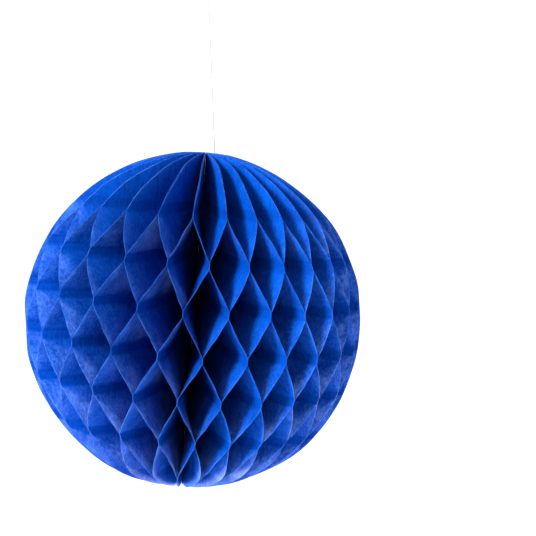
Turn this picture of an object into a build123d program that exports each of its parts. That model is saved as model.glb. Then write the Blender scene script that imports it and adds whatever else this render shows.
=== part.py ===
from build123d import *

import os
from math import asin, cos, radians, sin, sqrt

# Paper honeycomb ball, opened into a full sphere and hung on a thread. Millimetres.
# Z is the spine, the origin is the middle of the ball, and the ball is looked at along +Y.
# An azimuth is a turn about the spine in degrees: 0 faces -Y, and 90 faces +X.

# ---- the tissue leaves
ball_radius = 100.0
leaf_count = 48
sheet_thick = 0.1
bond_gap = 0.1  # the glue film between two leaves, left open
bond_width = 4.0  # height of one glue stripe
cell_clear = 0.15  # least room between a leaf and the next but one, at the spine

# ---- the glue stripes, which run level from the spine to the rim
row_pitch = 26.6
row_shift = 5.2  # the middle of the pattern lies above the middle of the ball
row_draw_in = 0.05  # share by which the stripes draw together at the equator
glue_reach = 0.9  # no stripe is nearer to a pole than this share of the radius, and a leaf runs on free

# ---- how the fan is spread round the spine
seam_turn = 153.4  # where the two covers meet, before the uneven spread
spread_bias = 8.4  # degrees by which the fan is drawn round to one side
spread_bias_at = -13.0

# ---- the two card covers
card_thick = 0.25
card_inset = 1.0  # the leaves stand this far past the rim of the card
card_inner = 9.0  # the covers stop short of the spine, so that they fold flat
tape_thick = 0.1
tape_clear = 0.04  # between the tape and the cover that peels off it
tape_width = 12.0
tape_length = 40.0
tape_inset = 18.0  # from the rim of the card to the middle of a strip
tape_turn = 32.0  # degrees from the equator to the middle of a strip

# ---- the spine
spine_thread_radius = 0.4
bead_clear = 0.4  # between the glue bead and the inner edges of the leaves
knot_clear = 0.9  # between the knots at the poles and the inner edges of the leaves
knot_height = 2.0
knot_below_pole = 0.5
knot_round = 0.5  # on the edges of the knots
thread_clear = 0.05  # between a thread and the bore that it runs in
thread_tail = 0.4

# ---- the hanging thread, its seat in the covers, and its loop
hang_thread_radius = 0.3
hang_knot_radius = 0.9
knot_leaf_clear = 0.3  # between the knot in the covers and the leaves round it
seat_depth = 6.0  # from the rim of the card down to the keyhole
seat_clear = 0.3  # round the knot and the thread
notch_mouth = 4.0
hang_lean = 6.6  # the thread leans this far towards -X
hang_length = 98.0
loop_knot_radius = 1.0
loop_knot_height = 2.4
loop_length = 20.0
loop_bend_radius = 4.0
loop_strand_gap = 0.3  # between the two strands where they leave the knot
join_clear = 0.1


def bond_azimuth(bond):
    """Azimuth of the glued plane between leaf number bond and the next one."""
    even_turn = seam_turn + 360 * bond / leaf_count
    return even_turn + spread_bias * cos(radians(even_turn - spread_bias_at))


def radial_plane(azimuth, height=0.0):
    """Level plane at a height, with its X pointing out from the spine and its Y to a greater azimuth."""
    turn = radians(azimuth - 90)
    return Plane(origin=(0, 0, height), x_dir=(cos(turn), sin(turn), 0), z_dir=(0, 0, 1))


def upright_plane(azimuth, offset):
    """Upright plane through the spine, moved sideways by offset, with X outwards and Y up."""
    level = radial_plane(azimuth)
    return Plane(origin=level.y_dir * offset, x_dir=level.x_dir, z_dir=-level.y_dir)


def row_height(row):
    """Height of the middle of one glue stripe. Row 0 is the first one above the middle."""
    flat = row_pitch * (row + 0.5)
    return row_shift + flat * (1 - row_draw_in * (1 - (flat / ball_radius) ** 2))


# ---- values worked out from those above
least_fan_step = radians(360 / leaf_count * (1 - radians(spread_bias)))
leaf_inner = (2 * sheet_thick + bond_gap + cell_clear) / (2 * sin(least_fan_step))
bead_radius = leaf_inner - bead_clear
knot_radius = leaf_inner - knot_clear
bead_half = ball_radius - knot_below_pole - knot_height
seam_half = (tape_thick + tape_clear) / 2
leaf_offset = (sheet_thick + bond_gap) / 2
cover_leaf_offset = seam_half + card_thick + bond_gap + sheet_thick / 2
rows_each_way = int(ball_radius / row_pitch) + 2
rows = [
    row
    for row in range(-rows_each_way, rows_each_way)
    if abs(row_height(row)) < glue_reach * ball_radius
]
blank_radius = ball_radius + row_pitch
card_radius = ball_radius - card_inset
seat_from_spine = (hang_knot_radius + knot_leaf_clear) / sin(least_fan_step)
seat_height = sqrt(card_radius**2 - seat_from_spine**2) - seat_depth
end_leaf_inner = seat_from_spine + hang_knot_radius + knot_leaf_clear

os.makedirs("parts", exist_ok=True)


# ---- tissue leaves: each one zigzags between its two glued planes, row by row, and past the last row
# it runs on to the pole in that row's plane. The first and the last leaf start further out, clear of the
# knot that sits in the covers.
def leaf_section(leaf, row):
    """Azimuth and sideways offset of one leaf where a glue stripe holds it."""
    bond = leaf - 1 if (leaf - 1 - row) % 2 == 0 else leaf
    at_cover = bond in (0, leaf_count)
    offset = cover_leaf_offset if at_cover else leaf_offset
    return bond_azimuth(bond), offset if bond < leaf else -offset


for leaf in range(1, leaf_count + 1):
    inner = end_leaf_inner if leaf in (1, leaf_count) else leaf_inner
    with BuildPart() as tissue_leaf:
        for row in rows:
            azimuth, offset = leaf_section(leaf, row)
            foot = -blank_radius if row == rows[0] else row_height(row) - bond_width / 2
            head = blank_radius if row == rows[-1] else row_height(row) + bond_width / 2
            for height in (foot, head):
                with BuildSketch(radial_plane(azimuth, height)):
                    with Locations(((inner + blank_radius) / 2, offset)):
                        Rectangle(blank_radius - inner, sheet_thick)
        loft(ruled=True)
        Sphere(ball_radius, mode=Mode.INTERSECT)
    tissue_leaf.part.label = f"tissue_leaf_{leaf:02d}"
    export_step(tissue_leaf.part, f"parts/tissue_leaf_{leaf:02d}.step")


# ---- card covers: two half discs, back to back across the seam
def cover_outline(plane):
    """Half disc with a keyhole near its top corner for the hanging thread."""
    notch_half = seat_clear + hang_thread_radius
    with BuildSketch(plane) as outline:
        Circle(card_radius)
        with Locations(((card_inner + card_radius) / 2, 0)):
            Rectangle(card_radius - card_inner, 2 * card_radius, mode=Mode.INTERSECT)
        with Locations((seat_from_spine, seat_height)):
            Circle(hang_knot_radius + seat_clear, mode=Mode.SUBTRACT)
        with BuildLine():
            Polyline(
                (seat_from_spine - notch_half, seat_height),
                (seat_from_spine + notch_half, seat_height),
                (seat_from_spine + notch_mouth / 2, ball_radius),
                (seat_from_spine - notch_mouth / 2, ball_radius),
                close=True,
            )
        make_face(mode=Mode.SUBTRACT)
    return outline.sketch


seam_azimuth = bond_azimuth(0)

with BuildPart() as fixed_cover:
    extrude(cover_outline(upright_plane(seam_azimuth, seam_half)), amount=-card_thick)
fixed_cover.part.label = "fixed_cover"
export_step(fixed_cover.part, "parts/fixed_cover.step")

with BuildPart() as swing_cover:
    extrude(cover_outline(upright_plane(seam_azimuth, -seam_half)), amount=card_thick)
swing_cover.part.label = "swing_cover"
export_step(swing_cover.part, "parts/swing_cover.step")

# ---- double-sided tape: two strips on the back of the fixed cover
with BuildPart() as seam_tape:
    with BuildSketch(upright_plane(seam_azimuth, seam_half)):
        with PolarLocations(card_radius - tape_inset, 2, -tape_turn, 2 * tape_turn, endpoint=True):
            Rectangle(tape_width, tape_length)
    extrude(amount=tape_thick)
seam_tape.part.label = "seam_tape"
export_step(seam_tape.part, "parts/seam_tape.step")

# ---- spine: a glue bead round a thread that is knotted at both poles
with BuildPart() as spine_bead:
    Cylinder(bead_radius, 2 * bead_half)
    Cylinder(spine_thread_radius + thread_clear, 2 * bead_half, mode=Mode.SUBTRACT)
spine_bead.part.label = "spine_bead"
export_step(spine_bead.part, "parts/spine_bead.step")

with BuildPart() as spine_thread:
    Cylinder(spine_thread_radius, 2 * (bead_half + knot_height + thread_tail))
spine_thread.part.label = "spine_thread"
export_step(spine_thread.part, "parts/spine_thread.step")

for name, foot in (("top_knot", bead_half), ("bottom_knot", -bead_half - knot_height)):
    with BuildPart(Plane.XY.offset(foot + knot_height / 2)) as knot:
        Cylinder(knot_radius, knot_height)
        fillet(knot.edges().filter_by(GeomType.CIRCLE), knot_round)
        Cylinder(spine_thread_radius + thread_clear, knot_height, mode=Mode.SUBTRACT)
    knot.part.label = name
    export_step(knot.part, f"parts/{name}.step")

# ---- hanging thread: a knot in the keyhole, one straight run, a knot and a loop
seat_point = radial_plane(seam_azimuth).from_local_coords((seat_from_spine, 0, seat_height))
lean = radians(hang_lean)
up_the_thread = Vector(-sin(lean), 0, cos(lean))
across_the_thread = Vector(cos(lean), 0, sin(lean))


def thread_plane(distance):
    """Plane square to the hanging thread, at a distance along it from the keyhole."""
    origin = seat_point + up_the_thread * distance
    return Plane(origin=origin, x_dir=across_the_thread, z_dir=up_the_thread)


with BuildPart(Plane(seat_point)) as seat_knot:
    Sphere(hang_knot_radius)
seat_knot.part.label = "seat_knot"
export_step(seat_knot.part, "parts/seat_knot.step")

thread_start = hang_knot_radius + join_clear
with BuildPart() as hanging_thread:
    with BuildSketch(thread_plane(thread_start)):
        Circle(hang_thread_radius)
    extrude(amount=hang_length - thread_start)
hanging_thread.part.label = "hanging_thread"
export_step(hanging_thread.part, "parts/hanging_thread.step")

with BuildPart(thread_plane(hang_length + loop_knot_height / 2)) as loop_knot:
    Cylinder(loop_knot_radius, loop_knot_height)
    fillet(loop_knot.edges(), knot_round)
loop_knot.part.label = "loop_knot"
export_step(loop_knot.part, "parts/loop_knot.step")

# The loop is a drop: two straight strands that run tangent into a round top.
loop_foot = thread_plane(hang_length + loop_knot_height + join_clear)
loop_plane = Plane(origin=loop_foot.origin, x_dir=across_the_thread, z_dir=Vector(0, -1, 0))
strand_foot = hang_thread_radius + loop_strand_gap / 2
bend_height = loop_length - loop_bend_radius
foot_to_bend = sqrt(bend_height**2 + strand_foot**2)
flare = asin(loop_bend_radius / foot_to_bend) - asin(strand_foot / foot_to_bend)
shoulder_x = loop_bend_radius * cos(flare)
shoulder_y = bend_height - loop_bend_radius * sin(flare)
with BuildPart() as hanging_loop:
    with BuildLine(loop_plane) as loop_path:
        Line((strand_foot, hang_thread_radius), (shoulder_x, shoulder_y))
        ThreePointArc((shoulder_x, shoulder_y), (0, loop_length), (-shoulder_x, shoulder_y))
        Line((-shoulder_x, shoulder_y), (-strand_foot, hang_thread_radius))
    with BuildSketch(Plane(origin=loop_path.line @ 0, z_dir=loop_path.line % 0)):
        Circle(hang_thread_radius)
    sweep(path=loop_path.line)
hanging_loop.part.label = "hanging_loop"
export_step(hanging_loop.part, "parts/hanging_loop.step")

print(f"leaves start {leaf_inner:.2f} mm from the spine, and the bead is {2 * bead_radius:.2f} mm across")
print(f"seam at azimuth {seam_azimuth:.2f}, thread {hang_length:.0f} mm, loop {loop_length:.0f} mm")
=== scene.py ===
import math

import bmesh
import bpy
from bpy.props import FloatProperty, IntProperty, PointerProperty, StringProperty
from mathutils import Matrix, Vector


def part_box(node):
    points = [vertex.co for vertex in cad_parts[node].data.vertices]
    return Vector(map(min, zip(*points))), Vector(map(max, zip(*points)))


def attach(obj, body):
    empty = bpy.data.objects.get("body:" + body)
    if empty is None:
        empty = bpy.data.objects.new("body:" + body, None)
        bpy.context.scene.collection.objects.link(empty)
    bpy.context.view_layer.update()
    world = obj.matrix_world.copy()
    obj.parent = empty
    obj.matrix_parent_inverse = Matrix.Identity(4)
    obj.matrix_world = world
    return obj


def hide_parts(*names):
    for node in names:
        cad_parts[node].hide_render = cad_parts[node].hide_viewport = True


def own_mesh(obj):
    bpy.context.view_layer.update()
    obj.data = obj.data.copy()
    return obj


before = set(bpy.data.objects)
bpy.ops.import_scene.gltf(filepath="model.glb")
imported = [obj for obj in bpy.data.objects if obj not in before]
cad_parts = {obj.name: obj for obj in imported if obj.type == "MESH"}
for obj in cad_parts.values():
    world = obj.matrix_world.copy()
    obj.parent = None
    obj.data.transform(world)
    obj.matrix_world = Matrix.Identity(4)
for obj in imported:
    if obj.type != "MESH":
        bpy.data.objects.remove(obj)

bl_info = {
    "name": "Paper Honeycomb Ball",
    "version": (1, 0, 0),
    "blender": (4, 5, 0),
    "location": "3D View > Sidebar > Honeycomb",
    "description": "Builds a hanging tissue paper honeycomb ball round its CAD frame",
    "category": "Add Mesh",
}

MM = 0.001
NOMINAL_STEP = 7.5  # degrees between two glued planes, before a leaf is fitted to its own place
NUMBERED = [name for name in sorted(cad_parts) if name.startswith("tissue_leaf_")]

# how finely the pieces are modelled
LEVEL_STEPS = 110  # from pole to pole of a leaf, besides the levels of its glue stripes
BEAD_STEPS = 300
THREAD_STEPS = 640
TURN_STEPS = 20  # in one turn of a knot
STRAND_SIDES = 12
LEAF_CREASE = math.radians(25)  # sharper angles than this stay sharp
ROD_CREASE = math.radians(60)
MERGE_DISTANCE = 1e-7
LEAST_WIDTH = 1e-4  # what is left of a leaf's width at the poles, as a share of its depth

# the paper's soft swells: their width, and the range they push it over, half of it to each side
SWAY_WIDTH = 45 * MM
SWAY_DEPTH = 2.6 * MM
BUCKLE_WIDTH = 11 * MM
BUCKLE_DEPTH = 2.2 * MM
LUMP_WIDTH = 3 * MM  # of the spine's glue
HELD_BY_SPINE = 6 * MM  # the paper can't move this near to the spine
SET_FREE_OVER = 30 * MM  # and is wholly free this much further out
STRIPE_DARKNESS_REACH = 0.55  # the dark of a glue stripe, painted shade on the paper's colour and a weaker glow through it, reaches this share of its width either way

# the knots
TURN_SQUEEZE = 0.94  # pulled tight, the turns press into each other a little
POLE_KNOT_STRAND = 0.7  # the spine's thread is pulled thinner where it is knotted
PLY_SHARE = 0.55  # radius of a ply, as a share of the thread's radius

# the studio: name, place, size and power of each lamp
LAMPS = (
    ("front_softbox", (-1.1, -1.4, 0.65), 0.5, 88.0),
    ("low_left_softbox", (-1.0, 0.5, -0.7), 0.35, 72.0),
    ("low_right_softbox", (1.1, 0.7, -0.6), 0.35, 52.0),
    ("back_softbox", (-0.8, 1.3, 0.8), 0.9, 36.0),
)
ROOM_STRENGTH = 1.25
FLOOR_WIDTH = 60


# ---------------------------------------------------------------- settings
class BallSettings(bpy.types.PropertyGroup):
    """Sizes of the paper, the glue stripes and the fan."""

    ball_radius: FloatProperty(name="Ball radius", description="From the spine to the rim of a leaf",
                               default=0.1, unit="LENGTH")
    leaf_inner: FloatProperty(name="Leaf inner edge", description="From the spine to where a leaf starts",
                              default=0.00202, unit="LENGTH")
    end_leaf_inner: FloatProperty(name="End leaf inner edge",
                                  description="From the spine to where the first and last leaf start",
                                  default=0.01195, unit="LENGTH")
    paper: FloatProperty(name="Paper thickness", description="Thickness of one tissue leaf",
                         default=0.0001, unit="LENGTH")
    bond_offset: FloatProperty(name="Bond offset", description="From a glued plane to the middle of a leaf",
                               default=0.0001, unit="LENGTH")
    cover_offset: FloatProperty(name="Cover offset",
                                description="From the seam to the leaf glued to a cover",
                                default=0.00047, unit="LENGTH")
    bond_width: FloatProperty(name="Glue stripe", description="Height of one glue stripe",
                              default=0.004, unit="LENGTH")
    row_pitch: FloatProperty(name="Row pitch", description="Distance between two glue stripes",
                             default=0.0266, unit="LENGTH")
    row_shift: FloatProperty(name="Row shift", description="Height of the middle of the pattern",
                             default=0.0052, unit="LENGTH")
    row_draw_in: FloatProperty(name="Row draw-in", description="How far the rows close up at the equator",
                               default=0.05, subtype="FACTOR")
    glue_reach: FloatProperty(name="Glue reach",
                              description="No stripe is nearer to a pole than this share of the radius",
                              default=0.9, subtype="FACTOR")
    wall_ease: FloatProperty(name="Wall ease",
                             description="How softly a cell wall bends off its glue stripe",
                             default=0.02, subtype="FACTOR")
    free_flare: FloatProperty(name="Free flare",
                              description="How far a leaf leaves its glued plane near a pole",
                              default=0.1, subtype="FACTOR")
    seam_turn: FloatProperty(name="Seam turn", description="Where the covers meet, before the uneven spread",
                             default=153.4)
    spread_bias: FloatProperty(name="Spread bias",
                               description="Degrees by which the fan is drawn to one side", default=8.4)
    spread_bias_at: FloatProperty(name="Spread bias at", description="Azimuth that the fan is drawn round",
                                  default=-13.0)
    pad_share: FloatProperty(name="Folded share", description="What a cell keeps of its width when folded",
                             default=0.0064, subtype="FACTOR")
    columns: IntProperty(name="Columns", description="Faces from the spine to the rim of a leaf", default=42)


class ThreadSettings(bpy.types.PropertyGroup):
    """Sizes of the spine, the threads and their knots."""

    lean: FloatProperty(name="Lean", description="How far the hanging thread leans",
                        default=math.radians(6.6), subtype="ANGLE")
    length: FloatProperty(name="Thread length",
                          description="From the knot in the covers to the knot of the loop",
                          default=0.098, unit="LENGTH")
    start: FloatProperty(name="Thread start",
                         description="From the middle of the knot to where the thread leaves it",
                         default=0.001, unit="LENGTH")
    radius: FloatProperty(name="Thread radius", description="Half the thickness of the hanging thread",
                          default=0.0003, unit="LENGTH")
    lay: FloatProperty(name="Twist", description="Length of thread in which its two plies go round once",
                       default=0.0016, unit="LENGTH")
    spine_radius: FloatProperty(name="Spine thread radius",
                                description="Half the thickness of the spine thread",
                                default=0.0004, unit="LENGTH")
    bead_lumps: FloatProperty(name="Bead lumps", description="How unevenly the glue of the spine lies",
                              default=0.0007, unit="LENGTH")


class ColourSettings(bpy.types.PropertyGroup):
    """Colours of the finishes, as sRGB hex."""

    tissue: StringProperty(name="Tissue", description="Dyed tissue where its fibres lie thin",
                           default="#0052C0")
    tissue_dense: StringProperty(name="Tissue, dense", description="Dyed tissue where its fibres clump",
                                 default="#0042A4")
    glow: StringProperty(name="Glow", description="Light that comes through thin tissue", default="#AABEDE")
    glow_dense: StringProperty(name="Glow, dense", description="Light that comes through a clump of fibres",
                               default="#58729E")
    # painted highlight on the fuzzy cut edge of a leaf
    tissue_rim_highlight: StringProperty(name="Tissue rim", description="Fuzzy cut edge of a leaf", default="#4A86EA")
    card: StringProperty(name="Card", description="Dyed card of the covers", default="#08308A")
    tape: StringProperty(name="Tape", description="Double-sided tape", default="#E9E4D2")
    glue: StringProperty(name="Glue", description="Dried white glue", default="#F1F0EA")
    # painted shade: the dark colour over the spine's glue outside its painted gleams
    glue_painted_shade: StringProperty(name="Glue, stained", description="Glue that the dye has run into",
                                 default="#0A2470")
    thread: StringProperty(name="Thread",
                           description="White cotton thread, drawn grey so that it shows on white",
                           default="#868682")


class StageSettings(bpy.types.PropertyGroup):
    """Where the ball is seen from, and how it is lit."""

    elevation: FloatProperty(name="Elevation", description="Degrees that the camera looks down", default=8.5)
    roll: FloatProperty(name="Roll", description="Degrees that the ball's top leans to the right",
                        default=4.2)
    distance: FloatProperty(name="Distance", description="From the camera to the ball",
                            default=1.1, unit="LENGTH")
    lens: FloatProperty(name="Lens", description="Focal length of the camera in millimetres", default=123.5)
    aside: FloatProperty(name="Aside", description="How far the ball stands left of the middle",
                         default=0.0446, unit="LENGTH")
    below: FloatProperty(name="Below", description="How far the ball hangs below the middle",
                         default=0.0307, unit="LENGTH")
    floor_drop: FloatProperty(name="Floor drop", description="From the ball's middle down to the floor",
                              default=0.9, unit="LENGTH")
    floor: StringProperty(name="Floor", description="Painted floor", default="#FFFFFF")


# ---------------------------------------------------------------- helpers
def linear(colour):
    """sRGB hex to linear red, green, blue and alpha."""
    parts = [int(colour[i:i + 2], 16) / 255 for i in (1, 3, 5)]
    return [c / 12.92 if c <= 0.04045 else ((c + 0.055) / 1.055) ** 2.4 for c in parts] + [1.0]


def add_node(tree, kind, settings=None, links=None):
    """Adds one node with its settings and the links into it."""
    node = tree.nodes.new(kind)
    for name, value in (settings or {}).items():
        if isinstance(name, int) or name in node.inputs:
            node.inputs[name].default_value = value
        else:
            setattr(node, name, value)
    for name, source in (links or {}).items():
        tree.links.new(source, node.inputs[name])
    return node


def new_material(name):
    """An empty material and its node tree."""
    material = bpy.data.materials.new(name)
    material.use_nodes = True
    material.node_tree.nodes.clear()
    return material, material.node_tree


def dress(obj, material):
    """Gives an object this one material."""
    obj.data.materials.clear()
    obj.data.materials.append(material)


def deselect():
    """Leaves object mode with nothing selected."""
    if bpy.context.object and bpy.context.object.mode != "OBJECT":
        bpy.ops.object.mode_set(mode="OBJECT")
    bpy.ops.object.select_all(action="DESELECT")


def make_active(obj):
    """Selects one object alone."""
    deselect()
    obj.select_set(True)
    bpy.context.view_layer.objects.active = obj


# ---------------------------------------------------------------- the fan
def bond_azimuth(ball, bond):
    """Azimuth of the glued plane between leaf number bond and the next one, in degrees."""
    even = ball.seam_turn + 360 * bond / len(NUMBERED)
    return even + ball.spread_bias * math.cos(math.radians(even - ball.spread_bias_at))


def row_height(ball, row):
    """Height of the middle of one glue stripe. Row 0 is the first one above the middle."""
    flat = ball.row_pitch * (row + 0.5)
    return ball.row_shift + flat * (1 - ball.row_draw_in * (1 - (flat / ball.ball_radius) ** 2))


def glued_rows(ball):
    """The rows whose glue stripes lie well inside the round rim, from the lowest up."""
    reach = ball.glue_reach * ball.ball_radius
    return [row for row in range(-9, 9) if abs(row_height(ball, row)) < reach]


def fold_at(ball, height, parity):
    """Which of its two glued planes a leaf is on at a height: -1, 1, or between them on a cell wall. Past
    the last stripe it runs on to the pole, and only flares a little."""
    rows = glued_rows(ball)
    half_stripe = ball.bond_width / 2
    passed = [row for row in rows if row_height(ball, row) - half_stripe <= height]
    row = passed[-1] if passed else rows[0]
    side = -1 if (row + parity) % 2 else 1
    if row == rows[-1] or not passed:
        run = max(0.0, abs(height - row_height(ball, row)) - half_stripe)
        return side * (1 - ball.free_flare * min(1.0, run / ball.row_pitch))
    foot = row_height(ball, row) + half_stripe
    head = row_height(ball, row + 1) - half_stripe
    share = max(0.0, (height - foot) / (head - foot))
    eased = share * share * (3 - 2 * share)
    return side * (1 - 2 * (share + ball.wall_ease * (eased - share)))


def leaf_levels(ball, inner):
    """Heights at which a leaf is shaped: the edges and middles of its glue stripes, and steps that follow
    the round rim. A step nearer to a level already there than a quarter of the widest step is left out."""
    top = math.sqrt(ball.ball_radius**2 - inner**2)
    keys = [-top, top]
    for row in glued_rows(ball):
        keys += [row_height(ball, row) + edge * ball.bond_width / 2 for edge in (-1, 0, 1)]
    for step in range(1, LEVEL_STEPS):
        height = top * math.sin(math.pi * (step / LEVEL_STEPS - 0.5))
        if min(abs(height - key) for key in keys) > 0.25 * top * math.pi / LEVEL_STEPS:
            keys.append(height)
    return sorted(keys)


# ---------------------------------------------------------------- finishes
def tissue_paper(colours):
    """Dyed tissue paper, wet-laid from short fibres: it is cloudy where they clump, and some of the
    light that meets it comes out behind, paler than what it throws back. The cut rim is fuzzy, and drawn
    paler with a painted highlight."""
    cloud_share, clump_share, fibre_share = 0.35, 0.35, 0.3
    light_through = 0.35
    # two leaves and the glue between them hold back the light that comes through, and the paper's own colour
    # is darkened there as painted shade
    stripe_painted_shade = (0.8, 0.84, 0.9, 1.0)
    stripe_glow = (0.35, 0.4, 0.5, 1.0)
    material, tree = new_material("dyed_tissue_paper")
    place = add_node(tree, "ShaderNodeTexCoord")
    across = add_node(tree, "ShaderNodeSeparateXYZ", links={"Vector": place.outputs["UV"]})
    spot = place.outputs["Object"]
    # fibre clumps are about 1.7 mm across, and clouds of dye about 12 mm
    clumps = add_node(tree, "ShaderNodeTexNoise",
                      {"Scale": 1 / (1.7 * MM), "Detail": 3.0, "Roughness": 0.65}, {"Vector": spot})
    clouds = add_node(tree, "ShaderNodeTexNoise", {"Scale": 1 / (12 * MM), "Detail": 2.0}, {"Vector": spot})
    # fibres lie along the web, up and down the leaf. They are really 0.1 mm apart, and are drawn 1.1 mm
    # apart so that they show
    along = add_node(tree, "ShaderNodeMapping", {"Scale": (1.0, 1.0, 0.12)}, {"Vector": spot})
    fibre = add_node(tree, "ShaderNodeTexNoise", {"Scale": 1 / (1.1 * MM), "Detail": 2.0, "Distortion": 0.5},
                     {"Vector": along.outputs[0]})
    share = add_node(tree, "ShaderNodeMath", {"operation": "MULTIPLY", 1: cloud_share},
                     {0: clouds.outputs["Fac"]})
    share = add_node(tree, "ShaderNodeMath", {"operation": "MULTIPLY_ADD", 1: clump_share},
                     {0: clumps.outputs["Fac"], 2: share.outputs[0]})
    share = add_node(tree, "ShaderNodeMath", {"operation": "MULTIPLY_ADD", 1: fibre_share},
                     {0: fibre.outputs["Fac"], 2: share.outputs[0]})
    thin = add_node(tree, "ShaderNodeMapRange", {"From Min": 0.4, "From Max": 0.6},
                    {"Value": share.outputs[0]})
    body = add_node(tree, "ShaderNodeMix", {"data_type": "RGBA", 6: linear(colours.tissue_dense),
                                            7: linear(colours.tissue)}, {0: thin.outputs[0]})
    glow = add_node(tree, "ShaderNodeMix", {"data_type": "RGBA", 6: linear(colours.glow_dense),
                                            7: linear(colours.glow)}, {0: thin.outputs[0]})
    # the painted highlight on the fuzzy cut edge is about 0.3 mm wide on a leaf 98 mm deep, and stronger in
    # places every 9 mm or so
    rim_highlight_noise = add_node(tree, "ShaderNodeTexNoise", {"Scale": 1 / (9 * MM), "Detail": 2.0}, {"Vector": spot})
    rim_highlight_strength = add_node(tree, "ShaderNodeMapRange",
                    {"From Min": 0.38, "From Max": 0.62, "To Min": 0.06, "To Max": 0.5},
                    {"Value": rim_highlight_noise.outputs["Fac"]})
    # painted highlight: the paper's colour is paled towards its cut rim
    rim = add_node(tree, "ShaderNodeMapRange", {"From Min": 0.9955, "From Max": 0.9985},
                   {"Value": across.outputs["X"], "To Max": rim_highlight_strength.outputs[0]})
    face = add_node(tree, "ShaderNodeMix", {"data_type": "RGBA", 7: linear(colours.tissue_rim_highlight)},
                    {0: rim.outputs[0], 6: body.outputs[2]})
    glued = add_node(tree, "ShaderNodeAttribute", {"attribute_name": "glued"})
    # painted shade: the paper's colour is darkened on the glue stripes
    face = add_node(tree, "ShaderNodeMix", {"data_type": "RGBA", "blend_type": "MULTIPLY", 7: stripe_painted_shade},
                    {0: glued.outputs["Fac"], 6: face.outputs[2]})
    glow = add_node(tree, "ShaderNodeMix", {"data_type": "RGBA", "blend_type": "MULTIPLY", 7: stripe_glow},
                    {0: glued.outputs["Fac"], 6: glow.outputs[2]})
    # soft crinkles about 4 mm apart, with the fibres on them
    crinkle = add_node(tree, "ShaderNodeTexNoise", {"Scale": 1 / (4 * MM), "Detail": 3.0, "Distortion": 0.8},
                       {"Vector": spot})
    relief = add_node(tree, "ShaderNodeBump", {"Strength": 0.5, "Distance": 0.4 * MM},
                      {"Height": crinkle.outputs["Fac"]})
    relief = add_node(tree, "ShaderNodeBump", {"Strength": 0.4, "Distance": 0.12 * MM},
                      {"Height": fibre.outputs["Fac"], "Normal": relief.outputs["Normal"]})
    paper = add_node(tree, "ShaderNodeBsdfPrincipled",
                     {"Roughness": 0.5, "IOR": 1.5, "Specular IOR Level": 0.08},
                     {"Base Color": face.outputs[2], "Normal": relief.outputs["Normal"]})
    behind = add_node(tree, "ShaderNodeBsdfTranslucent", links={"Color": glow.outputs[2],
                                                                "Normal": relief.outputs["Normal"]})
    mixed = add_node(tree, "ShaderNodeMixShader", {0: light_through},
                     {1: paper.outputs[0], 2: behind.outputs[0]})
    add_node(tree, "ShaderNodeOutputMaterial", links={"Surface": mixed.outputs[0]})
    return material


def plain_finish(name, colour, roughness, grain, depth, shaded=0.8, gloss=0.5):
    """A finish with a mottled colour and fine relief. grain and depth are in millimetres, shaded is how dark
    the mottle's darker colour is, and gloss is how strongly the surface shines."""
    material, tree = new_material(name)
    place = add_node(tree, "ShaderNodeTexCoord")
    noise = add_node(tree, "ShaderNodeTexNoise", {"Scale": 1 / (grain * MM), "Detail": 4.0},
                     {"Vector": place.outputs["Object"]})
    shade = [c * shaded for c in linear(colour)[:3]] + [1.0]
    mottle = add_node(tree, "ShaderNodeMix", {"data_type": "RGBA", 6: shade, 7: linear(colour)},
                      {0: noise.outputs["Fac"]})
    relief = add_node(tree, "ShaderNodeBump", {"Strength": 0.5, "Distance": depth * MM},
                      {"Height": noise.outputs["Fac"]})
    skin = add_node(tree, "ShaderNodeBsdfPrincipled", {"Roughness": roughness, "Specular IOR Level": gloss},
                    {"Base Color": mottle.outputs[2], "Normal": relief.outputs["Normal"]})
    add_node(tree, "ShaderNodeOutputMaterial", links={"Surface": skin.outputs[0]})
    return material


def glue_with_painted_gleams(colours, repeat):
    """Dried white paper glue: lumpy and a little glossy. Most of it is painted dark as painted shade, and it
    is left white only in short stretches, one in each open cell at the front, as painted gleams where light
    reaches it."""
    phase = 1.6  # radians: each painted gleam has its middle 4 to 7 mm below every other glued row
    # below the first the glue is painted dark as painted shade, above the second it keeps its white as a
    # painted gleam
    painted_shade_below, painted_gleam_above = 1.25, 1.45
    material, tree = new_material("dried_white_glue")
    place = add_node(tree, "ShaderNodeTexCoord")
    height = add_node(tree, "ShaderNodeSeparateXYZ", links={"Vector": place.outputs["Object"]})
    turn = add_node(tree, "ShaderNodeMath",
                    {"operation": "MULTIPLY_ADD", 1: 2 * math.pi / repeat, 2: phase},
                    {0: height.outputs["Z"]})
    cell = add_node(tree, "ShaderNodeMath", {"operation": "COSINE"}, {0: turn.outputs[0]})
    noise = add_node(tree, "ShaderNodeTexNoise", {"Scale": 1 / (1.5 * MM), "Detail": 4.0},
                     {"Vector": place.outputs["Object"]})
    patchy = add_node(tree, "ShaderNodeMath", {"operation": "ADD"},
                      {0: cell.outputs[0], 1: noise.outputs["Fac"]})
    # painted gleam mask: 1 where the glue keeps its white, 0 where it is painted dark as shade
    painted_gleam_mask = add_node(tree, "ShaderNodeMapRange", {"From Min": painted_shade_below, "From Max": painted_gleam_above},
                     {"Value": patchy.outputs[0]})
    tint = add_node(tree, "ShaderNodeMix", {"data_type": "RGBA", 6: linear(colours.glue_painted_shade),
                                            7: linear(colours.glue)}, {0: painted_gleam_mask.outputs[0]})
    relief = add_node(tree, "ShaderNodeBump", {"Strength": 0.5, "Distance": 0.1 * MM},
                      {"Height": noise.outputs["Fac"]})
    skin = add_node(tree, "ShaderNodeBsdfPrincipled", {"Roughness": 0.45},
                    {"Base Color": tint.outputs[2], "Normal": relief.outputs["Normal"]})
    add_node(tree, "ShaderNodeOutputMaterial", links={"Surface": skin.outputs[0]})
    return material


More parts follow.
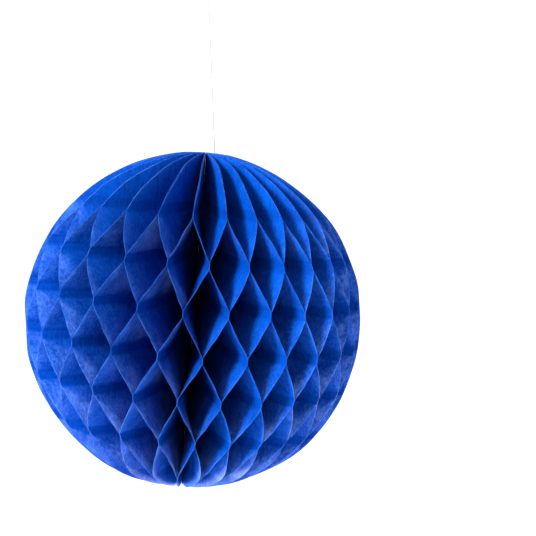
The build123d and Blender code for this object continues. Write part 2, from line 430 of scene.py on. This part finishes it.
def twisted_thread(colours):
    """Two-ply cotton thread: the twist shows as slanting ridges about 1 mm apart, with painted shade in the
    furrows between them, and a soft fuzz.
    """
    furrow_painted_shade = 0.72  # painted shade in the furrows beside the ridges: how dark they are drawn
    material, tree = new_material("two_ply_cotton_thread")
    place = add_node(tree, "ShaderNodeTexCoord")
    slant = add_node(tree, "ShaderNodeMapping", {"Rotation": (0.0, math.radians(35), 0.0)},
                     {"Vector": place.outputs["Object"]})
    ply = add_node(tree, "ShaderNodeTexWave", {"Scale": 1 / (2 * math.pi * 0.5 * MM), "bands_direction": "Z",
                                               "Distortion": 0.4}, {"Vector": slant.outputs[0]})
    shade = [c * furrow_painted_shade for c in linear(colours.thread)[:3]] + [1.0]
    tint = add_node(tree, "ShaderNodeMix", {"data_type": "RGBA", 6: shade, 7: linear(colours.thread)},
                    {0: ply.outputs["Fac"]})
    relief = add_node(tree, "ShaderNodeBump", {"Strength": 0.6, "Distance": 0.08 * MM},
                      {"Height": ply.outputs["Fac"]})
    yarn = add_node(tree, "ShaderNodeBsdfPrincipled", {"Roughness": 0.8, "Sheen Weight": 0.3},
                    {"Base Color": tint.outputs[2], "Normal": relief.outputs["Normal"]})
    add_node(tree, "ShaderNodeOutputMaterial", links={"Surface": yarn.outputs[0]})
    return material


def finishes():
    """Every finish by its slot name, made once."""
    colours = bpy.context.scene.honeycomb_colours
    cell_height = 2 * bpy.context.scene.honeycomb_ball.row_pitch
    makers = {
        "dyed_tissue_paper": lambda name: tissue_paper(colours),
        "two_ply_cotton_thread": lambda name: twisted_thread(colours),
        # uncoated card dyed in the pulp: matt, with a faint felt grain
        "dyed_uncoated_card": lambda name: plain_finish(name, colours.card, roughness=0.85, grain=1.2,
                                                        depth=0.04, gloss=0.1),
        # acrylic film tape: smooth, slightly glossy
        "acrylic_film_tape": lambda name: plain_finish(name, colours.tape, roughness=0.35, grain=3.0,
                                                       depth=0.02),
        "dried_white_glue": lambda name: glue_with_painted_gleams(colours, cell_height),
    }
    return {name: bpy.data.materials.get(name) or make(name) for name, make in makers.items()}


# ---------------------------------------------------------------- tissue leaves
def select_level(mesh, columns, level):
    """Selects the vertices of one level of the leaf that is in edit mode."""
    shape = bmesh.from_edit_mesh(mesh)
    shape.verts.ensure_lookup_table()
    for vert in shape.verts:
        vert.select = vert.index // (columns + 1) == level
    shape.select_flush_mode()
    bmesh.update_edit_mesh(mesh, loop_triangles=False, destructive=False)


def shape_leaf(ball, name, parity, inner, low_offset, high_offset):
    """One unfolded leaf, shaped level by level from a flat grid: each level is drawn in to the round rim and
    turned about the spine to the glued plane that it is on."""
    heights = leaf_levels(ball, inner)
    depth = ball.ball_radius - inner
    deselect()
    bpy.ops.mesh.primitive_grid_add(x_subdivisions=ball.columns, y_subdivisions=len(heights) - 1, size=1)
    leaf = bpy.context.object
    leaf.name = name
    bpy.ops.object.mode_set(mode="EDIT")
    bpy.ops.mesh.select_all(action="SELECT")
    bpy.ops.transform.resize(value=(depth, 0, 0), center_override=(0, 0, 0))
    bpy.ops.transform.translate(value=(inner + depth / 2, 0, 0))
    half_step = math.radians(NOMINAL_STEP / 2)
    for level, height in enumerate(heights):
        select_level(leaf.data, ball.columns, level)
        rim = math.sqrt(max(ball.ball_radius**2 - height**2, inner**2))
        share = max((rim - inner) / depth, LEAST_WIDTH)
        fold = fold_at(ball, height, parity)
        offset = low_offset if fold < 0 else high_offset
        bpy.ops.transform.resize(value=(share, 1, 1), center_override=(inner, 0, 0))
        bpy.ops.transform.rotate(value=-fold * half_step, orient_axis="Z", center_override=(0, 0, 0))
        bpy.ops.transform.translate(value=(0, -fold * offset, height))
    bpy.ops.object.mode_set(mode="OBJECT")
    return leaf


def weigh_leaf(ball, leaf):
    """Says where the paper is free to move, away from the spine and from the glue, and where it is glued."""
    free = leaf.vertex_groups.new(name="away_from_spine")
    wall = leaf.vertex_groups.new(name="cell_wall")
    rows = [row_height(ball, row) for row in glued_rows(ball)]
    stripes = []
    for vert in leaf.data.vertices:
        out = math.hypot(vert.co.x, vert.co.y)
        away = min(1.0, max(0.0, (out - HELD_BY_SPINE) / SET_FREE_OVER))
        fold = fold_at(ball, vert.co.z, 0)
        free.add([vert.index], away, "REPLACE")
        wall.add([vert.index], away * (1 - fold * fold), "REPLACE")
        near = min(abs(vert.co.z - height) for height in rows)
        stripes.append(1.0 if near < STRIPE_DARKNESS_REACH * ball.bond_width else 0.0)
    leaf.data.attributes.new("glued", "FLOAT", "POINT").data.foreach_set("value", stripes)


def paper_noise(name, size, depth):
    """Cloud texture that a Displace modifier reads."""
    texture = bpy.data.textures.get(name) or bpy.data.textures.new(name, "CLOUDS")
    texture.noise_scale = size
    texture.noise_depth = depth
    texture.cloud_type = "COLOR"
    return texture


def apply_modifier(obj, kind, **settings):
    """Adds one modifier with its settings and applies it."""
    make_active(obj)
    bpy.ops.object.modifier_add(type=kind)
    modifier = obj.modifiers[-1]
    for name, value in settings.items():
        setattr(modifier, name, value)
    bpy.ops.object.modifier_apply(modifier=modifier.name)


class HONEYCOMB_OT_leaves(bpy.types.Operator):
    """Models the tissue leaves, fans them round the spine and lets them fold flat"""

    bl_idname = "honeycomb.leaves"
    bl_label = "Tissue Leaves"

    def execute(self, context):
        ball = context.scene.honeycomb_ball
        paper = finishes()["dyed_tissue_paper"]
        last = len(NUMBERED)
        bond, cover = ball.bond_offset, ball.cover_offset
        blanks = {
            "odd": shape_leaf(ball, "odd_leaf", 1, ball.leaf_inner, bond, bond),
            "even": shape_leaf(ball, "even_leaf", 0, ball.leaf_inner, bond, bond),
            "first": shape_leaf(ball, "first_leaf", 1, ball.end_leaf_inner, cover, bond),
            "last": shape_leaf(ball, "last_leaf", 0, ball.end_leaf_inner, bond, cover),
        }
        for blank in blanks.values():
            weigh_leaf(ball, blank)
        sway = paper_noise("sway", SWAY_WIDTH, 1)
        buckle = paper_noise("buckle", BUCKLE_WIDTH, 2)
        for number, node in enumerate(NUMBERED, 1):
            blank = blanks[{1: "first", last: "last"}.get(number, "odd" if number % 2 else "even")]
            leaf = bpy.data.objects.new(f"paper_{node}", blank.data.copy())
            context.scene.collection.objects.link(leaf)
            before, after = bond_azimuth(ball, number - 1), bond_azimuth(ball, number)
            middle = math.radians((before + after) / 2 - 90)
            stretch = (after - before) / NOMINAL_STEP
            make_active(leaf)
            bpy.ops.object.mode_set(mode="EDIT")
            bpy.ops.mesh.select_all(action="SELECT")
            bpy.ops.transform.resize(value=(1, stretch, 1), center_override=(0, 0, 0))
            bpy.ops.transform.rotate(value=-middle, orient_axis="Z", center_override=(0, 0, 0))
            bpy.ops.object.mode_set(mode="OBJECT")
            apply_modifier(leaf, "DISPLACE", texture=sway, texture_coords="GLOBAL", direction="RGB_TO_XYZ",
                           mid_level=0.5, strength=SWAY_DEPTH, vertex_group="away_from_spine")
            apply_modifier(leaf, "DISPLACE", texture=buckle, texture_coords="GLOBAL", direction="NORMAL",
                           mid_level=0.5, strength=BUCKLE_DEPTH, vertex_group="cell_wall")
            apply_modifier(leaf, "SOLIDIFY", thickness=ball.paper, offset=0, use_even_offset=False)
            bpy.ops.object.shade_smooth_by_angle(angle=LEAF_CREASE)
            leaf.vertex_groups.clear()
            dress(leaf, paper)
            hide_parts(node)
            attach(leaf, f"leaf_{number:02d}")
            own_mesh(leaf)
        for blank in blanks.values():
            bpy.data.objects.remove(blank)
        return {"FINISHED"}


# ---------------------------------------------------------------- covers, spine, thread
class HONEYCOMB_OT_covers(bpy.types.Operator):
    """Finishes the two card covers and the tape between them"""

    bl_idname = "honeycomb.covers"
    bl_label = "Card Covers"

    def execute(self, context):
        finish = finishes()
        for node in ("fixed_cover", "swing_cover"):
            dress(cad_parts[node], finish["dyed_uncoated_card"])
        dress(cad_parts["seam_tape"], finish["acrylic_film_tape"])
        return {"FINISHED"}


def long_rod(name, rings, length, steps):
    """Rod along Z with its middle at the origin: rings are (radius, x) of the circles it is drawn from."""
    deselect()
    for radius, across in rings:
        bpy.ops.mesh.primitive_circle_add(vertices=STRAND_SIDES, radius=radius,
                                          location=(across, 0, -length / 2))
    rod = bpy.context.object
    circles = [item for item in bpy.context.scene.objects
               if item.type == "MESH" and item.name.startswith("Circle")]
    deselect()
    for circle in circles:
        circle.select_set(True)
    bpy.context.view_layer.objects.active = rod
    if len(circles) > 1:
        bpy.ops.object.join()
    bpy.ops.object.transform_apply(location=True)
    rod.name = name
    apply_modifier(rod, "SCREW", angle=0, screw_offset=length, steps=steps, render_steps=steps, axis="Z")
    return rod


def close_ends(obj):
    """Closes the open rims of a rod or a coil and turns its faces outwards."""
    make_active(obj)
    bpy.ops.object.mode_set(mode="EDIT")
    bpy.ops.mesh.select_all(action="SELECT")
    bpy.ops.mesh.remove_doubles(threshold=MERGE_DISTANCE)
    bpy.ops.mesh.fill_holes(sides=0)
    bpy.ops.mesh.normals_make_consistent(inside=False)
    bpy.ops.object.mode_set(mode="OBJECT")
    bpy.ops.object.shade_smooth_by_angle(angle=ROD_CREASE)


def put_in_place(obj, place, lean=0.0):
    """Leans a piece made at the origin towards -X, and moves its mesh to its place."""
    make_active(obj)
    bpy.ops.object.mode_set(mode="EDIT")
    bpy.ops.mesh.select_all(action="SELECT")
    bpy.ops.transform.rotate(value=lean, orient_axis="Y", center_override=(0, 0, 0))
    bpy.ops.transform.translate(value=place)
    bpy.ops.object.mode_set(mode="OBJECT")


def box_middle(node):
    """Middle of a CAD node's box."""
    low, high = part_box(node)
    return (Vector(low) + Vector(high)) / 2


def wound_knot(name, node, radius, height, strand, core, lean=0.0):
    """A barrel knot in the place of a CAD node: the thread is wound round itself, turn by turn. strand is
    half the thickness of the thread, and core the radius of what it is wound on, or 0 for nothing."""
    deselect()
    bpy.ops.mesh.primitive_circle_add(vertices=STRAND_SIDES, radius=strand)
    knot = bpy.context.object
    knot.name = name
    rise = TURN_SQUEEZE * (height - 2 * strand)
    turns = math.ceil(rise / (2 * strand))
    bpy.ops.object.mode_set(mode="EDIT")
    bpy.ops.mesh.select_all(action="SELECT")
    bpy.ops.transform.rotate(value=math.pi / 2, orient_axis="X", center_override=(0, 0, 0))
    bpy.ops.transform.translate(value=(radius - strand, 0, -rise / 2))
    bpy.ops.object.mode_set(mode="OBJECT")
    steps = TURN_STEPS * turns
    apply_modifier(knot, "SCREW", angle=2 * math.pi * turns, screw_offset=rise, steps=steps,
                   render_steps=steps, axis="Z")
    close_ends(knot)
    if core:
        bpy.ops.mesh.primitive_uv_sphere_add(segments=16, ring_count=10, radius=1)
        heart = bpy.context.object
        bpy.ops.object.mode_set(mode="EDIT")
        bpy.ops.transform.resize(value=(core, core, height / 2), center_override=(0, 0, 0))
        bpy.ops.object.mode_set(mode="OBJECT")
        bpy.ops.object.shade_smooth()
        knot.select_set(True)
        bpy.context.view_layer.objects.active = knot
        bpy.ops.object.join()
    put_in_place(knot, box_middle(node), lean)
    dress(knot, finishes()["two_ply_cotton_thread"])
    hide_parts(node)
    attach(knot, "root")
    return knot


class HONEYCOMB_OT_spine(bpy.types.Operator):
    """Models the lumpy glue bead of the spine and the knots at the poles"""

    bl_idname = "honeycomb.spine"
    bl_label = "Spine"

    def execute(self, context):
        sizes = context.scene.honeycomb_thread
        low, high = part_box("spine_bead")
        radius, length = (high[0] - low[0]) / 2, high[2] - low[2]
        bead = long_rod("glue_bead", [(radius, 0)], length, BEAD_STEPS)
        apply_modifier(bead, "DISPLACE", texture=paper_noise("lumps", LUMP_WIDTH, 2),
                       texture_coords="GLOBAL", direction="NORMAL", mid_level=0.5, strength=sizes.bead_lumps)
        close_ends(bead)
        dress(bead, finishes()["dried_white_glue"])
        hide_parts("spine_bead")
        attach(bead, "root")
        dress(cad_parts["spine_thread"], finishes()["two_ply_cotton_thread"])
        for node in ("top_knot", "bottom_knot"):
            low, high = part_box(node)
            wound_knot(f"wound_{node}", node, radius=(high[0] - low[0]) / 2, height=high[2] - low[2],
                       strand=POLE_KNOT_STRAND * sizes.spine_radius, core=0)
        return {"FINISHED"}


class HONEYCOMB_OT_thread(bpy.types.Operator):
    """Models the hanging thread and its knots, and gives its loop the thread's finish"""

    bl_idname = "honeycomb.thread"
    bl_label = "Hanging Thread"

    def execute(self, context):
        sizes = context.scene.honeycomb_thread
        cotton = finishes()["two_ply_cotton_thread"]
        way = Vector((-math.sin(sizes.lean), 0, math.cos(sizes.lean)))
        knot_middle = box_middle("seat_knot")
        start, end = knot_middle + way * sizes.start, knot_middle + way * sizes.length
        # pulled tight by the ball's weight: one straight run, with a point six thicknesses from each knot
        beside = way * 12 * sizes.radius
        route = [start, start + beside, end - beside, end]
        line = bpy.data.curves.new("thread_route", "CURVE")
        line.dimensions = "3D"
        spline = line.splines.new("NURBS")
        spline.points.add(len(route) - 1)
        for point, place in zip(spline.points, route):
            point.co = (*place, 1)
        spline.order_u = 3
        spline.use_endpoint_u = True
        carrier = bpy.data.objects.new("thread_route", line)
        followed = bpy.data.meshes.new_from_object(carrier)
        bpy.data.objects.remove(carrier)

        length = (end - start).length
        ply = PLY_SHARE * sizes.radius
        thread = long_rod("cotton_thread", [(ply, ply - sizes.radius), (ply, sizes.radius - ply)], length,
                          THREAD_STEPS)
        apply_modifier(thread, "SIMPLE_DEFORM", deform_method="TWIST", deform_axis="Z",
                       angle=2 * math.pi * length / sizes.lay)
        close_ends(thread)
        put_in_place(thread, (start + end) / 2, sizes.lean)
        dress(thread, cotton)
        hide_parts("hanging_thread")
        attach(thread, "root")
        strand = sizes.radius
        wound_knot("wound_seat_knot", "seat_knot", radius=3 * strand, height=6 * strand, strand=strand,
                   core=strand, lean=sizes.lean)
        low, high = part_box("loop_knot")
        loop_knot = wound_knot("wound_loop_knot", "loop_knot", radius=0.5 * (high[1] - low[1]),
                               height=8 * strand, strand=strand, core=1.3 * strand, lean=sizes.lean)
        dress(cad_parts["hanging_loop"], cotton)
        return {"FINISHED"}


# ---------------------------------------------------------------- stage
class HONEYCOMB_OT_stage(bpy.types.Operator):
    """Sets the white floor, the soft studio light and the camera"""

    bl_idname = "honeycomb.stage"
    bl_label = "Stage"

    def execute(self, context):
        stage = context.scene.honeycomb_stage
        deselect()
        bpy.ops.mesh.primitive_plane_add(size=FLOOR_WIDTH, location=(0, 0, -stage.floor_drop))
        floor = context.object
        floor.name = "studio_floor"
        dress(floor, plain_finish("matt_floor_paint", stage.floor, roughness=0.95, grain=300.0, depth=0.2,
                                  shaded=0.97))

        world = bpy.data.worlds.new("studio_white")
        world.use_nodes = True
        world.node_tree.nodes["Background"].inputs["Color"].default_value = (1, 1, 1, 1)
        world.node_tree.nodes["Background"].inputs["Strength"].default_value = ROOM_STRENGTH
        context.scene.world = world
        context.scene.view_settings.view_transform = "Standard"

        for name, place, size, power in LAMPS:
            light = bpy.data.lights.new(name, "AREA")
            light.size = size
            light.energy = power
            lamp = bpy.data.objects.new(name, light)
            lamp.location = place
            lamp.rotation_mode = "QUATERNION"
            lamp.rotation_quaternion = Vector(place).to_track_quat("Z", "Y")
            context.scene.collection.objects.link(lamp)

        elevation, roll = math.radians(stage.elevation), math.radians(stage.roll)
        back = Vector((0, -math.cos(elevation), math.sin(elevation)))
        upright = Matrix.Rotation(roll, 3, back) @ Vector((0, math.sin(elevation), math.cos(elevation)))
        across = upright.cross(back)
        place = back * stage.distance
        aim = across * stage.aside + upright * stage.below
        sight = (place - aim).normalized()
        side = upright.cross(sight).normalized()
        camera = bpy.data.objects.new("camera", bpy.data.cameras.new("camera"))
        camera.data.lens = stage.lens
        camera.matrix_world = Matrix((side, sight.cross(side), sight)).transposed().to_4x4()
        camera.location = place
        context.scene.collection.objects.link(camera)
        context.scene.camera = camera
        return {"FINISHED"}


class HONEYCOMB_PT_panel(bpy.types.Panel):
    """Lists the steps and sizes of the honeycomb ball"""

    bl_label = "Honeycomb Ball"
    bl_idname = "HONEYCOMB_PT_panel"
    bl_space_type = "VIEW_3D"
    bl_region_type = "UI"
    bl_category = "Honeycomb"

    def draw(self, context):
        for step in STEPS:
            self.layout.operator(step.bl_idname)
        for group in GROUPS:
            settings = getattr(context.scene, group)
            for name in settings.__annotations__:
                self.layout.prop(settings, name)


STEPS = (
    HONEYCOMB_OT_leaves,
    HONEYCOMB_OT_covers,
    HONEYCOMB_OT_spine,
    HONEYCOMB_OT_thread,
    HONEYCOMB_OT_stage,
)
GROUPS = {
    "honeycomb_ball": BallSettings,
    "honeycomb_thread": ThreadSettings,
    "honeycomb_colours": ColourSettings,
    "honeycomb_stage": StageSettings,
}
CLASSES = (*GROUPS.values(), *STEPS, HONEYCOMB_PT_panel)


def register():
    for item in CLASSES:
        bpy.utils.register_class(item)
    for name, group in GROUPS.items():
        setattr(bpy.types.Scene, name, PointerProperty(type=group))


def unregister():
    for name in GROUPS:
        delattr(bpy.types.Scene, name)
    for item in reversed(CLASSES):
        bpy.utils.unregister_class(item)


def main():
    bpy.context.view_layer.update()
    register()
    bpy.ops.honeycomb.stage()
    bpy.ops.honeycomb.thread()
    bpy.ops.honeycomb.leaves()
    bpy.ops.honeycomb.covers()
    bpy.ops.honeycomb.spine()


if __name__ == "__main__":
    main()
